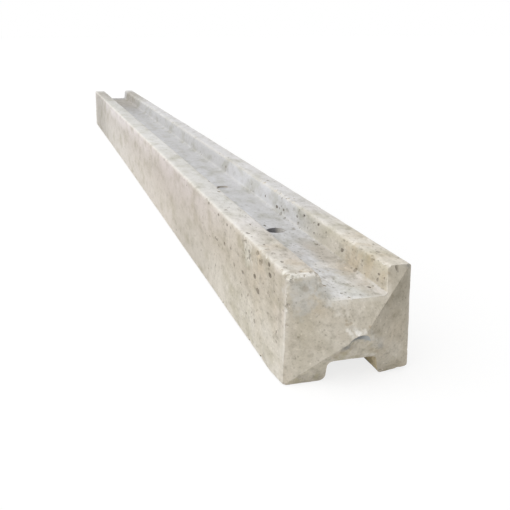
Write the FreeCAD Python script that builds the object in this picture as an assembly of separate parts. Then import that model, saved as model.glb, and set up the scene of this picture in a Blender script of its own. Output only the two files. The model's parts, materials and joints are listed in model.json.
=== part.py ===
"""A slotted concrete fence post, cast in one piece and lying on its side.

The post runs along X, with its four-sided weathered top at +X and its flat butt end at -X.
One panel slot opens upwards and the other one downwards, onto the ground. Millimetres, +Z up.
The origin lies on the ground, below the middle of the post.
"""
import FreeCAD, Part
import math
import os

Vector = FreeCAD.Vector

# Overall sizes
SHAFT_LENGTH = 1726.0         # butt end to the shoulders, where the weathered top begins
PEAK_HEIGHT = 24.0            # shoulders to the tip, before its break
POST_WIDTH = 109.0            # across the flanges, at half height
POST_HEIGHT = 94.0            # ground to the upper flange edges
SIDE_DRAFT = 1.0              # each side leans in by this much, from half height to the upper edge

# Panel slots
UPPER_SLOT_MOUTH = 58.0
LOWER_SLOT_MOUTH = 49.0
SLOT_DEPTH = 20.5
SLOT_DRAFT = 4.0              # a slot wall comes in by this much between mouth and floor
SLOT_OFFSET = 3.0             # the cast slots lie this far from the middle, towards +Y
LOWER_SLOT_LEAN = 3.0         # the lower slot leans: mouth this far towards +Y, floor as far towards -Y

# Rounded edges along the post
ARRIS_RADIUS = 3.5            # outer corners of the section
MOUTH_RADIUS = 4.5            # worn flange edges at the slot mouths
FLOOR_FILLET = 4.0            # inner corners along the slot floors

# Tip of the weathered top
TIP_SIDE_OFFSET = 3.5         # the tip lies this far from the middle, towards +Y
TIP_RISE = 1.5                # and this far above half height

# Broken underside of the tip
BREAK_RADIUS = 15.0           # hollow of the break
BREAK_DEPTH = 3.5             # how deep the hollow sinks into the lower facet
BREAK_FROM_TIP = 7.0          # tip to the middle of the break, along the left ridge
BREAK_BELOW_RIDGE = 7.0       # and from there down the lower facet

# Holes in the web, on the centreline of the slots
HOLE_DIAMETER = 20.0
HOLE_FROM_SHOULDER = 200.0    # shoulders to the open hole
HOLE_PITCH = 225.0            # open hole to the filled one
FILLED_HOLE_DEPTH = 3.0       # slurry fills the second hole up to this far below the slot floor
FLOOR_CLEARANCE = 1.0         # how far the hole cutters stand clear of the web


def rounded_wire(corners):
    """Close a wire through (y, z, radius) corners of the section, with a tangent arc at each one."""
    points = [Vector(0, y, z) for y, z, _ in corners]
    starts, ends, arcs = [], [], []
    for index, (point, (_, _, radius)) in enumerate(zip(points, corners)):
        to_last = (points[index - 1] - point).normalize()
        to_next = (points[(index + 1) % len(points)] - point).normalize()
        half_angle = to_last.getAngle(to_next) / 2
        setback = radius / math.tan(half_angle)
        bisector = (to_last + to_next).normalize()
        crown = point + bisector * (radius / math.sin(half_angle) - radius)
        starts.append(point + to_last * setback)
        ends.append(point + to_next * setback)
        arcs.append(Part.Arc(starts[-1], crown, ends[-1]).toShape())
    edges = []
    for index, arc in enumerate(arcs):
        edges.append(Part.LineSegment(ends[index - 1], starts[index]).toShape())
        edges.append(arc)
    return Part.Wire(edges)


def half_width(height):
    """Half of the section's width at a height, with the draft of its sides."""
    return POST_WIDTH / 2 + SIDE_DRAFT * (1 - 2 * height / POST_HEIGHT)


def section_corners():
    """List the corners of the slotted section, from the left foot anticlockwise round."""
    foot, crest = half_width(0), half_width(POST_HEIGHT)
    lower_mouth, upper_mouth = LOWER_SLOT_MOUTH / 2, UPPER_SLOT_MOUTH / 2
    lower_floor, upper_floor = lower_mouth - SLOT_DRAFT, upper_mouth - SLOT_DRAFT
    mouth_middle, floor_middle = SLOT_OFFSET + LOWER_SLOT_LEAN, SLOT_OFFSET - LOWER_SLOT_LEAN
    web_top = POST_HEIGHT - SLOT_DEPTH
    return [
        (-foot, 0, ARRIS_RADIUS),
        (mouth_middle - lower_mouth, 0, MOUTH_RADIUS),
        (floor_middle - lower_floor, SLOT_DEPTH, FLOOR_FILLET),
        (floor_middle + lower_floor, SLOT_DEPTH, FLOOR_FILLET),
        (mouth_middle + lower_mouth, 0, MOUTH_RADIUS),
        (foot, 0, ARRIS_RADIUS),
        (crest, POST_HEIGHT, ARRIS_RADIUS),
        (SLOT_OFFSET + upper_mouth, POST_HEIGHT, MOUTH_RADIUS),
        (SLOT_OFFSET + upper_floor, web_top, FLOOR_FILLET),
        (SLOT_OFFSET - upper_floor, web_top, FLOOR_FILLET),
        (SLOT_OFFSET - upper_mouth, POST_HEIGHT, MOUTH_RADIUS),
        (-crest, POST_HEIGHT, ARRIS_RADIUS),
    ]


def tip():
    """Place the tip of the weathered top, as it was before its break."""
    return Vector(SHAFT_LENGTH + PEAK_HEIGHT, TIP_SIDE_OFFSET, POST_HEIGHT / 2 + TIP_RISE)


def shoulder_corners():
    """Place the four sharp corners where the weathered top begins, anticlockwise seen from the tip."""
    foot, crest = half_width(0), half_width(POST_HEIGHT)
    outline = [(-foot, 0), (foot, 0), (crest, POST_HEIGHT), (-crest, POST_HEIGHT)]
    return [Vector(SHAFT_LENGTH, y, z) for y, z in outline]


def peak_envelope():
    """Make the pyramid of the weathered top, carried on back past the butt end so it only trims the peak."""
    apex = tip()
    reach = 1.5 * (SHAFT_LENGTH + PEAK_HEIGHT) / PEAK_HEIGHT
    base = [apex + (corner - apex) * reach for corner in shoulder_corners()]
    faces = [Part.Face(Part.makePolygon(base + base[:1]))]
    for index, corner in enumerate(base):
        faces.append(Part.Face(Part.makePolygon([base[index - 1], corner, apex, base[index - 1]])))
    return Part.Solid(Part.Shell(faces))


def tip_break():
    """Make the ball that scoops the broken tip out of the lower facet, at the left ridge."""
    apex = tip()
    left_foot, right_foot = shoulder_corners()[:2]
    foot_edge = (right_foot - left_foot).normalize()
    facet_normal = foot_edge.cross(apex - left_foot).normalize()
    down_facet = foot_edge.cross(facet_normal)
    middle = apex + (left_foot - apex).normalize() * BREAK_FROM_TIP + down_facet * BREAK_BELOW_RIDGE
    return Part.makeSphere(BREAK_RADIUS, middle + facet_normal * (BREAK_RADIUS - BREAK_DEPTH))


def web_hole(from_shoulder, floor_height):
    """Make the upright cutter of a web hole that goes down to a given height."""
    top = POST_HEIGHT - SLOT_DEPTH + FLOOR_CLEARANCE
    base = Vector(SHAFT_LENGTH - from_shoulder, SLOT_OFFSET, floor_height)
    return Part.makeCylinder(HOLE_DIAMETER / 2, top - floor_height, base)


def fence_post():
    """Cast the whole post: slotted shaft, weathered top, web holes and the broken tip."""
    section = Part.Face(rounded_wire(section_corners()))
    post = section.extrude(Vector(SHAFT_LENGTH + PEAK_HEIGHT, 0, 0)).common(peak_envelope())
    open_hole = web_hole(HOLE_FROM_SHOULDER, SLOT_DEPTH - FLOOR_CLEARANCE)
    filled_floor = POST_HEIGHT - SLOT_DEPTH - FILLED_HOLE_DEPTH
    filled_hole = web_hole(HOLE_FROM_SHOULDER + HOLE_PITCH, filled_floor)
    post = post.cut([open_hole, filled_hole, tip_break()])
    box = post.optimalBoundingBox(False, False)
    post.translate(Vector(-box.Center.x, -box.Center.y, -box.ZMin))
    return post


os.makedirs("parts", exist_ok=True)
post = fence_post()
solid = post.Solids[0]
box = solid.optimalBoundingBox(False, False)
print("solids", len(post.Solids), "valid", solid.isValid(), "volume cm3", round(solid.Volume / 1000, 1))
print("box", round(box.XLength, 2), round(box.YLength, 2), round(box.ZLength, 2))
solid.exportStep("parts/fence_post.step")
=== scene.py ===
# %% [markdown]
# # A slotted concrete fence post
#
# The post is one piece of cast concrete. It lies on its flange edges, with a panel slot above and
# another one below, and its four-sided weathered top points at the viewer. The frame gives its size
# and its place. This lesson builds the skin of that casting: a dense mesh with real blowholes and
# knocked edges, and a concrete finish made of nodes.

# %% Load the frame
import cmath
import json
import math

import bmesh
import bpy
import numpy as np
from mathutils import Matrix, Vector, geometry, noise
from mathutils.bvhtree import BVHTree


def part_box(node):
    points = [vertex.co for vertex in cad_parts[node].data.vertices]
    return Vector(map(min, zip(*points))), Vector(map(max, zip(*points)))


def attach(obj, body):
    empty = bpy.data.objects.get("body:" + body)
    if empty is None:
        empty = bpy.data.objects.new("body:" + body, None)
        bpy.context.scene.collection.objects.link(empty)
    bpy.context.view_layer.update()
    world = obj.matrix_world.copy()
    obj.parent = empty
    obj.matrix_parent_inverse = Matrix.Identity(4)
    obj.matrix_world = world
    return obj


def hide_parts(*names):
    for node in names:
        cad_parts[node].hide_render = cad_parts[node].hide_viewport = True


MM = 0.001
NODE = "fence_post"

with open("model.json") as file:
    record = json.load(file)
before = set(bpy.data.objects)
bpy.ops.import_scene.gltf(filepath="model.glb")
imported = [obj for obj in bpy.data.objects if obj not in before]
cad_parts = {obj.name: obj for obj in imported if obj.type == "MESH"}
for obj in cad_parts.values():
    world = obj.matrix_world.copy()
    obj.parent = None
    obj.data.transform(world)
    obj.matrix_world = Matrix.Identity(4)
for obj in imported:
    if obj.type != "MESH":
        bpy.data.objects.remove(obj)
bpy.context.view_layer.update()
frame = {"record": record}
low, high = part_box(NODE)
mounts = {mount["name"]: mount for mount in frame["record"]["mounts"]}
print("frame box in mm", [round(side / MM, 1) for side in high - low])

# %% [markdown]
# ## The camera
#
# A camera comes first, because later cells ask it what lies behind a point of the picture. It stands
# low and close to the weathered top, a little to the left, and looks along the post. The lens is
# written for a square picture, so the sensor is set to fit its width.

# %% Place the camera
CAMERA_PLACE = Vector((1.3652, -0.2289, 0.2776))
CAMERA_AZIMUTH = math.radians(16.325)
CAMERA_ELEVATION = math.radians(17.141)
CAMERA_LENS = 52.72
SENSOR_WIDTH = 36.0
PICTURE_SIDE = 510


def camera_direction():
    """Give the direction in which the camera looks, level with the ground from side to side."""
    level = math.cos(CAMERA_ELEVATION)
    ahead = Vector((-math.cos(CAMERA_AZIMUTH), math.sin(CAMERA_AZIMUTH), 0))
    return ahead * level + Vector((0, 0, -math.sin(CAMERA_ELEVATION)))


camera_data = bpy.data.cameras.new("camera")
camera_data.sensor_fit = "HORIZONTAL"
camera_data.sensor_width = SENSOR_WIDTH
camera_data.lens = CAMERA_LENS
camera = bpy.data.objects.new("camera", camera_data)
camera.location = CAMERA_PLACE
camera.rotation_euler = camera_direction().to_track_quat("-Z", "Y").to_euler()
bpy.context.scene.collection.objects.link(camera)
bpy.context.scene.camera = camera
print("camera at", [round(value, 3) for value in CAMERA_PLACE])

# %% [markdown]
# ## The section of the casting
#
# Cut across, the post is an H that lies on its side: two flanges, a web, and a slot above and below.
# The mould leaves every wall with some draft, and the lower slot came out leaning. Every edge is
# rounded, but the left foot and the right crest are crisper than the rest. The outline is drawn with
# complex numbers, y + z j, because a turn round a corner is then one multiplication.

# %% Sizes of the section
POST_WIDTH = 109 * MM
PEAK_HEIGHT = 24 * MM
SIDE_DRAFT = 1 * MM
UPPER_SLOT_MOUTH = 58 * MM
LOWER_SLOT_MOUTH = 49 * MM
SLOT_DRAFT = 4 * MM
LOWER_SLOT_LEAN = 3 * MM
LOWER_MOUTH_LIP = 2.5 * MM
ARRIS_RADIUS = 3.5 * MM
CRISP_RADIUS = 2.4 * MM
MOUTH_RADIUS = 4.5 * MM
WORN_MOUTH_RADIUS = 5.5 * MM
FLOOR_FILLET = 4 * MM
TIP_SIDE_OFFSET = 5.5 * MM
TIP_RISE = 1.5 * MM
CREST_RISE = 0.4 * MM
CRISP_WEAR = 0.3
LONG_WEAR = 0.75

height = high.z - low.z
butt_x = low.x
shoulder_x = high.x - PEAK_HEIGHT
slot_middle = mounts["upper_slot"]["pos_m"][1]
web_top = mounts["upper_slot"]["pos_m"][2]
web_bottom = mounts["lower_slot"]["pos_m"][2]
tip = complex(TIP_SIDE_OFFSET, height / 2 + TIP_RISE)


def section_corners():
    """List the sharp corners as (place, radius, wear of its long edge), from the left foot round."""
    foot, crest = POST_WIDTH / 2 + SIDE_DRAFT, POST_WIDTH / 2 - SIDE_DRAFT
    lower_mouth, upper_mouth = LOWER_SLOT_MOUTH / 2, UPPER_SLOT_MOUTH / 2
    lower_floor, upper_floor = lower_mouth - SLOT_DRAFT, upper_mouth - SLOT_DRAFT
    mouth_middle, floor_middle = slot_middle + LOWER_SLOT_LEAN, slot_middle - LOWER_SLOT_LEAN
    top = height + CREST_RISE
    return [
        (complex(-foot, 0), CRISP_RADIUS, CRISP_WEAR),
        (complex(mouth_middle - lower_mouth, 0), WORN_MOUTH_RADIUS, LONG_WEAR),
        (complex(floor_middle - lower_floor, web_bottom), FLOOR_FILLET, 0),
        (complex(floor_middle + lower_floor, web_bottom), FLOOR_FILLET, 0),
        (complex(mouth_middle + lower_mouth - LOWER_MOUTH_LIP, 0), ARRIS_RADIUS, LONG_WEAR),
        (complex(foot, 0), ARRIS_RADIUS, LONG_WEAR),
        (complex(crest, top), CRISP_RADIUS, CRISP_WEAR),
        (complex(slot_middle + upper_mouth, top), MOUTH_RADIUS, LONG_WEAR),
        (complex(slot_middle + upper_floor, web_top), FLOOR_FILLET, 0),
        (complex(slot_middle - upper_floor, web_top), FLOOR_FILLET, 0),
        (complex(slot_middle - upper_mouth, top), MOUTH_RADIUS, LONG_WEAR),
        (complex(-crest, top), ARRIS_RADIUS, LONG_WEAR),
    ]


corners = section_corners()
print("section has", len(corners), "corners")

# %% Draw the outline with its round corners
OUTLINE_STEP = 2.3 * MM
ARC_STEPS = 5


def unit(value):
    """Scale a complex number to length one."""
    return value / abs(value)


def rounded_outline(corners, step):
    """Walk round the corners and return the outline's points, with an arc at each corner."""
    arcs = []
    for index, (corner, radius, _) in enumerate(corners):
        to_last = unit(corners[index - 1][0] - corner)
        to_next = unit(corners[(index + 1) % len(corners)][0] - corner)
        half_angle = abs(cmath.phase(to_next / to_last)) / 2
        centre = corner + unit(to_last + to_next) * radius / math.sin(half_angle)
        start = corner + to_last * radius / math.tan(half_angle) - centre
        end = corner + to_next * radius / math.tan(half_angle) - centre
        turn = cmath.phase(end / start)
        arcs.append([centre + start * cmath.exp(1j * turn * k / ARC_STEPS) for k in range(ARC_STEPS + 1)])
    points = []
    for index, arc in enumerate(arcs):
        run_start, run_end = arcs[index - 1][-1], arc[0]
        pieces = max(1, round(abs(run_end - run_start) / step))
        points += [run_start + (run_end - run_start) * k / pieces for k in range(1, pieces)]
        points += arc
    return np.array(points)


outline = rounded_outline(corners, OUTLINE_STEP)
print("outline has", len(outline), "points")

# %% [markdown]
# ## The weathered top
#
# Rain has to run off the end of a post, so it ends in four facets that rise from the shoulders to one
# tip. A facet's plane is easy to state: its rise is nothing along its own shoulder and full at the
# tip. The lowest of the four planes is the one that shows.

# %% Measure the rise of the facets
SHOULDER_CORNERS = (0, 5, 6, 11)

shoulders = [corners[index][0] for index in SHOULDER_CORNERS]


def cross(a, b):
    """Give the signed area between two complex numbers."""
    return a.real * b.imag - a.imag * b.real


def peak_rise(points):
    """Measure how far the weathered top stands out beyond the shoulders, over points of the section."""
    shares = []
    for index, corner in enumerate(shoulders):
        edge = shoulders[(index + 1) % len(shoulders)] - corner
        shares.append(cross(edge, points - corner) / cross(edge, tip - corner))
    return PEAK_HEIGHT * np.minimum.reduce(shares)


print("rise at the outline in mm", round(float(peak_rise(outline).max()) / MM, 2))

# %% [markdown]
# ## The skin of the shaft
#
# The outline is swept along the post. At the rim of the weathered top the rings stand less than a
# millimetre apart, so that the rim can wear. The gap soon grows to 2 mm and then slowly further, because
# the far end needs less detail and the whole skin is kept under 200,000 triangles. Each line along
# the post stops at its own facet of the weathered top.

# %% Sweep the outline along the post
RIM_STEP = 0.7 * MM
RIM_GROWTH = 0.35
NEAR_STEP = 2.0 * MM
STEP_GROWTH = 0.0075


def ring_shares():
    """Give each ring's place as a share of the way from the butt end to the weathered top."""
    distances = [0.0]
    while distances[-1] < high.x - low.x:
        last = distances[-1]
        step = min(RIM_STEP + RIM_GROWTH * last, NEAR_STEP + STEP_GROWTH * last)
        distances.append(last + step)
    return 1 - np.array(distances[::-1]) / distances[-1]


def swept_points(outline, shares):
    """Place the rings' vertices, one ring after another, from the butt end on."""
    reach = shoulder_x + peak_rise(outline) - butt_x
    x = butt_x + np.outer(shares, reach)
    y = np.broadcast_to(outline.real, x.shape)
    z = np.broadcast_to(outline.imag, x.shape)
    return np.stack([x, y, z], 2).reshape(-1, 3)


def swept_faces(ring_count, point_count):
    """Join neighbouring rings with quads."""
    here = np.arange(point_count)
    beside = (here + 1) % point_count
    ring = np.arange(ring_count - 1)[:, None] * point_count
    following = ring + point_count
    quads = np.stack([ring + here, ring + beside, following + beside, following + here], 2)
    return quads.reshape(-1, 4).tolist()


shares = ring_shares()
shaft_points = swept_points(outline, shares)
shaft_faces = swept_faces(len(shares), len(outline))
print("shaft has", len(shares), "rings and", len(shaft_faces), "quads")

# %% [markdown]
# ## The two ends
#
# An end is the whole section, filled in. A fan of long triangles would shade badly and couldn't take
# any wear, so points are laid over the section in a staggered grid, and along the ridges of the
# weathered top. A Delaunay triangulation then joins them to the outline.

# %% Fill a section with triangles
TOP_STEP = 1.5 * MM
BUTT_STEP = 6.0 * MM
RIM_OFFSETS = [0.7 * MM, 1.6 * MM]
KEEP_CLEAR = 0.62
MERGE_GAP = 0.001 * MM
INSIDE_ONLY = 1


def is_inside(points, outline):
    """Tell which points lie inside the outline, by counting the edges to one side of each."""
    start, end = outline, np.roll(outline, -1)
    spans = (start.imag[None] > points.imag[:, None]) != (end.imag[None] > points.imag[:, None])
    drop = np.where(end.imag == start.imag, 1, end.imag - start.imag)
    crossing = start.real + (points.imag[:, None] - start.imag) * (end.real - start.real) / drop
    return (spans & (points.real[:, None] < crossing)).sum(1) % 2 == 1


def nearest(points, others):
    """Measure the distance from each point to the nearest of some others."""
    return np.abs(points[:, None] - others[None]).min(1)


def clear_points(points, others, gap):
    """Keep the points that lie inside the outline and clear of some others."""
    points = points[is_inside(points, outline)]
    return points[nearest(points, others) > gap]


def staggered_grid(step):
    """Lay points over the section's box in rows, every other row moved by half a step."""
    rows = np.arange(0, height, step * math.sqrt(3) / 2)
    columns = np.arange(-POST_WIDTH, POST_WIDTH, step)
    shift = (np.arange(len(rows)) % 2)[:, None] * step / 2
    return (columns[None] + 1j * rows[:, None] + shift).ravel()


def moved_inwards(distance):
    """Move the outline's points into the concrete by a distance."""
    along = np.roll(outline, -1) - np.roll(outline, 1)
    return outline + 1j * along / np.abs(along) * distance


def fill_section(lines, step):
    """Return a filled section's inner points, and its triangles over outline and inner points."""
    gap = step * KEEP_CLEAR
    rim = np.concatenate([outline] + [moved_inwards(distance) for distance in RIM_OFFSETS])
    points = rim
    fixed_edges = [(index, (index + 1) % len(outline)) for index in range(len(outline))]
    for start, end in lines:
        along = start + (end - start) * np.linspace(0, 1, round(abs(end - start) / step))
        along = clear_points(along, rim, gap)
        fixed_edges += [(len(points) + k, len(points) + k + 1) for k in range(len(along) - 1)]
        points = np.concatenate([points, along])
    points = np.concatenate([points, clear_points(staggered_grid(step), points, gap)])
    flat = [Vector((point.real, point.imag)) for point in points]
    filled = geometry.delaunay_2d_cdt(flat, fixed_edges, [], INSIDE_ONLY, MERGE_GAP)
    _, _, faces, sources, _, _ = filled
    return points[len(outline):], [[sources[vertex][0] for vertex in face] for face in faces]


ridges = [(shoulder, tip) for shoulder in shoulders]
top_inner, top_faces = fill_section(ridges, TOP_STEP)
butt_inner, butt_faces = fill_section([], BUTT_STEP)
print("weathered top has", len(top_faces), "triangles, butt end", len(butt_faces))

# %% [markdown]
# ## The feet
#
# The flange edges that the post lies on aren't straight. Near the weathered top the right one is worn
# away from below, and the left one spreads by a few millimetres, but not at its front corner. A bent
# outline would need new rings, so the finished points are moved instead, by a share that grows from a
# start over a reach along each axis.

# %% Shape the feet
FOOT_WEAR = 3.2 * MM
FOOT_WEAR_START = np.array([650, 31, 40]) * MM
FOOT_WEAR_REACH = np.array([200, 24, -40]) * MM
FOOT_SPREAD = 2.7 * MM
FOOT_SPREAD_START = np.array([-200, -30, 40]) * MM
FOOT_SPREAD_REACH = np.array([1000, -20, -40]) * MM
FOOT_CORNER_START = np.array([826, -30, 40]) * MM
FOOT_CORNER_REACH = np.array([26, -20, -40]) * MM


def share_towards(points, start, reach):
    """Go from 0 to 1 over a reach from a start, along each axis, and multiply the three."""
    return np.clip((points - start) / reach, 0, 1).prod(1)


def shaped_feet(points):
    """Wear the right foot away from below, and let the left one spread, but not at its front corner."""
    wear = FOOT_WEAR * share_towards(points, FOOT_WEAR_START, FOOT_WEAR_REACH)
    spread = share_towards(points, FOOT_SPREAD_START, FOOT_SPREAD_REACH)
    spread = spread - share_towards(points, FOOT_CORNER_START, FOOT_CORNER_REACH)
    return points + np.outer(wear, (0, 0, 1)) + np.outer(FOOT_SPREAD * spread, (0, -1, 0))


shaped_shaft = shaped_feet(shaft_points)
print("the left foot stands out to y", round(float(shaped_shaft[:, 1].min()) / MM, 1), "mm")

# %% Join the skin into one closed mesh


def numbered(faces, rim_start, inner_start, rim_count):
    """Number a filled end's triangles for the whole mesh."""
    def number(vertex):
        return rim_start + vertex if vertex < rim_count else inner_start + vertex - rim_count
    return [[number(vertex) for vertex in face] for face in faces]


def end_points(inner, x):
    """Place the inner points of an end."""
    places = np.stack([np.broadcast_to(x, inner.shape), inner.real, inner.imag], 1)
    return shaped_feet(places)


def closed_skin():
    """Make the whole casting's mesh, with its faces turned outwards."""
    top_points = end_points(top_inner, shoulder_x + peak_rise(top_inner))
    points = np.concatenate([shaped_shaft, top_points, end_points(butt_inner, butt_x)])
    top_start = len(shaped_shaft)
    last_ring = top_start - len(outline)
    butt_start = top_start + len(top_points)
    faces = shaft_faces + numbered(top_faces, last_ring, top_start, len(outline))
    faces = faces + numbered(butt_faces, 0, butt_start, len(outline))
    mesh = bpy.data.meshes.new("casting")
    mesh.from_pydata(points.tolist(), [], faces)
    shell = bmesh.new()
    shell.from_mesh(mesh)
    bmesh.ops.recalc_face_normals(shell, faces=shell.faces)
    open_edges = sum(not edge.is_manifold for edge in shell.edges)
    shell.to_mesh(mesh)
    shell.free()
    print("casting has", len(mesh.polygons), "faces and", open_edges, "open edges")
    return mesh


casting = closed_skin()

# %% [markdown]
# ## The edges that wear
#
# Every outward edge of the post gets knocked and rubbed pale. The long arrises, the rims of both ends
# and the ridges of the weathered top are listed as straight lines. Each vertex then keeps how close it
# is to one of them, in two attributes: one colours the edge later, and the other one, which counts how
# much each edge wears, shapes it.

# %% List the worn edges
ARRIS_REACH = 5 * MM
RIDGE_WEAR = 0.2
BUTT_WEAR = 0.6
# The wear of each stretch of the top's rim, by the corner at which it ends.
TOP_RIM_WEAR = [0.7, 0.25, 0.4, 0.4, 0.4, 0.45, 0.3, 0.5, 0.4, 0.45, 0.6, 1.0]


def in_space(point, x):
    """Stand a point of the section at a place along the post."""
    return np.array([float(x), point.real, point.imag])


def worn_edges():
    """List the straight edges that stand out, each as its two ends and how much it wears."""
    places = [corner for corner, _, _ in corners]
    fronts = [in_space(place, shoulder_x + peak_rise(np.array([place]))[0]) for place in places]
    backs = [in_space(place, butt_x) for place in places]
    long_edges = [(backs[i], fronts[i], wear) for i, (_, _, wear) in enumerate(corners) if wear]
    top_rim = [(fronts[i - 1], fronts[i], wear) for i, wear in enumerate(TOP_RIM_WEAR)]
    butt_rim = [(backs[i - 1], backs[i], BUTT_WEAR) for i in range(len(backs))]
    apex = in_space(tip, high.x)
    ridges = [(fronts[index], apex, RIDGE_WEAR) for index in SHOULDER_CORNERS]
    return long_edges + top_rim + butt_rim + ridges


def edge_closeness(points, edge):
    """Measure how close each point is to one straight edge, from 0 to 1 on the edge itself."""
    start, along = edge[0], edge[1] - edge[0]
    share = np.clip((points - start) @ along / (along @ along), 0, 1)
    gap = np.linalg.norm(points - start - share[:, None] * along, axis=1)
    return np.clip(1 - gap / ARRIS_REACH, 0, 1)


def mark_arrises(mesh, edges):
    """Keep on each vertex how close it is to an edge that isn't a ridge, and how much it wears."""
    points = np.empty(len(mesh.vertices) * 3)
    mesh.vertices.foreach_get("co", points)
    closeness = np.array([edge_closeness(points.reshape(-1, 3), edge) for edge in edges])
    wear = np.array([edge[2] for edge in edges])
    marks = {"arris": closeness[wear > RIDGE_WEAR].max(0), "wear": (closeness * wear[:, None]).max(0)}
    for name, values in marks.items():
        mesh.attributes.new(name, "FLOAT", "POINT").data.foreach_set("value", values)
    return marks["arris"]


edges = worn_edges()
closeness = mark_arrises(casting, edges)
print(len(edges), "worn edges,", int((closeness > 0).sum()), "vertices near one")

# %% [markdown]
# ## Points seen in the picture
#
# Some blowholes and stains have a place of their own. The simplest way to note one is its pixel, and a
# ray from the camera through that pixel finds the spot on the casting. The mark is then fixed to the
# concrete, and stays there when the camera moves.

# %% Find the spot behind a pixel
TIP_PIXEL = (366, 333)

skin_points = [vertex.co for vertex in casting.vertices]
skin_faces = [face.vertices[:] for face in casting.polygons]
skin_tree = BVHTree.FromPolygons(skin_points, skin_faces)
camera_matrix = camera.rotation_euler.to_matrix()


def seen_at(column, row):
    """Return the place on the casting behind a pixel, and the way its surface faces."""
    middle = PICTURE_SIDE / 2
    depth = CAMERA_LENS / SENSOR_WIDTH * PICTURE_SIDE
    ray = camera_matrix @ Vector((column - middle, middle - row, -depth))
    place, normal, _, _ = skin_tree.ray_cast(CAMERA_PLACE, ray.normalized())
    return place, normal


print("the tip's pixel meets the skin at", [round(value, 3) for value in seen_at(*TIP_PIXEL)[0]])

# %% [markdown]
# ## The web holes and the broken tip
#
# A hole for a bolt goes through the web near the top, and a second one was filled with mortar to just
# under the floor of the slot. The tip of the weathered top broke off in a shallow scoop, which is
# rough where the stones tore out, and a thin flake came off above it. All of these are cut away later,
# so they are made here as closed bodies, whose faces carry a mark for the finish.

# %% Make the bodies that cut the web holes
HOLE_SIDES = 40
HOLE_PITCH = 225 * MM
FILLED_HOLE_DEPTH = 3 * MM
CUT_MARGIN = 6 * MM

hole_place = Vector(mounts["web_hole"]["pos_m"])
hole_radius = mounts["web_hole"]["dims"]["r_mm"] * MM


def cutting_body(name, build, **marks):
    """Make an object for cutting, whose faces carry the given marks."""
    body = bmesh.new()
    build(body)
    mesh = bpy.data.meshes.new(name)
    body.to_mesh(mesh)
    body.free()
    for mark, value in marks.items():
        values = [value] * len(mesh.polygons)
        mesh.attributes.new(mark, "FLOAT", "FACE").data.foreach_set("value", values)
    return bpy.data.objects.new(name, mesh)


def add_bore(body, x, bottom):
    """Add a round bar that stands in the upper slot and reaches down to a height."""
    top = web_top + CUT_MARGIN
    sizes = {"radius1": hole_radius, "radius2": hole_radius, "depth": top - bottom}
    made = bmesh.ops.create_cone(body, cap_ends=True, segments=HOLE_SIDES, **sizes)
    bmesh.ops.translate(body, verts=made["verts"], vec=(x, hole_place.y, (top + bottom) / 2))


def add_open_hole(body):
    """Add the bar that cuts the open hole, right through the web."""
    add_bore(body, hole_place.x, web_bottom - CUT_MARGIN)


def add_filled_hole(body):
    """Add the bar that cuts the filled hole, down to its mortar."""
    add_bore(body, hole_place.x - HOLE_PITCH, web_top - FILLED_HOLE_DEPTH)


hole_body = cutting_body("open hole", add_open_hole, bore=1.0)
filled_hole_body = cutting_body("filled hole", add_filled_hole, bore=0.3)
print("web holes are", round(2 * hole_radius / MM, 1), "mm wide")

# %% Make the bodies that cut the break and the flake
BREAK_RADIUS = 15 * MM
BREAK_DEPTH = 3.6 * MM
BREAK_FROM_TIP = 4 * MM
BREAK_BELOW_RIDGE = 9.5 * MM
BREAK_ROUGHNESS = 0.5 * MM
BREAK_STONE = 5 * MM
FLAKE_PIXEL = (357, 331.5)
FLAKE_RADIUS = 22 * MM
FLAKE_DEPTH = 1.2 * MM
FLAKE_ROUGHNESS = 0.8 * MM
FLAKE_STONE = 4 * MM
TORN_DIVISIONS = 5
TEAR_SMOOTHNESS = 0.8
TEAR_FINENESS = 2.1
TEAR_LEVELS = 4


def break_place():
    """Find the middle of the ball that cuts the scoop, beside the tip and under the lower left ridge."""
    apex = Vector((high.x, tip.real, tip.imag))
    left_foot = Vector((shoulder_x, shoulders[0].real, shoulders[0].imag))
    right_foot = Vector((shoulder_x, shoulders[1].real, shoulders[1].imag))
    along_ridge = (left_foot - apex).normalized()
    facet_normal = (right_foot - left_foot).cross(apex - left_foot).normalized()
    if facet_normal.x < 0:
        facet_normal = -facet_normal
    down_facet = facet_normal.cross(right_foot - left_foot).normalized()
    if down_facet.z > 0:
        down_facet = -down_facet
    beside = apex + along_ridge * BREAK_FROM_TIP + down_facet * BREAK_BELOW_RIDGE
    return beside + facet_normal * (BREAK_RADIUS - BREAK_DEPTH)


def add_torn_ball(body, centre, radius, roughness, stone):
    """Add a ball with a torn surface."""
    made = bmesh.ops.create_icosphere(body, subdivisions=TORN_DIVISIONS, radius=radius)
    for vertex in made["verts"]:
        place = centre + vertex.co
        tear = noise.fractal(place / stone, TEAR_SMOOTHNESS, TEAR_FINENESS, TEAR_LEVELS) * roughness
        vertex.co = place + vertex.co.normalized() * tear


def add_break(body):
    """Add the ball that cuts the break."""
    add_torn_ball(body, break_place(), BREAK_RADIUS, BREAK_ROUGHNESS, BREAK_STONE)


def add_flake(body):
    """Add the wide ball that cuts a thin flake off the left facet, just above the break."""
    place, facing = seen_at(*FLAKE_PIXEL)
    centre = place + facing * (FLAKE_RADIUS - FLAKE_DEPTH)
    add_torn_ball(body, centre, FLAKE_RADIUS, FLAKE_ROUGHNESS, FLAKE_STONE)


break_body = cutting_body("broken tip", add_break, torn=1.0)
flake_body = cutting_body("flaked tip", add_flake, fracture=0.3)
print("break centre in mm", [round(value / MM, 1) for value in break_place()])

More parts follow.
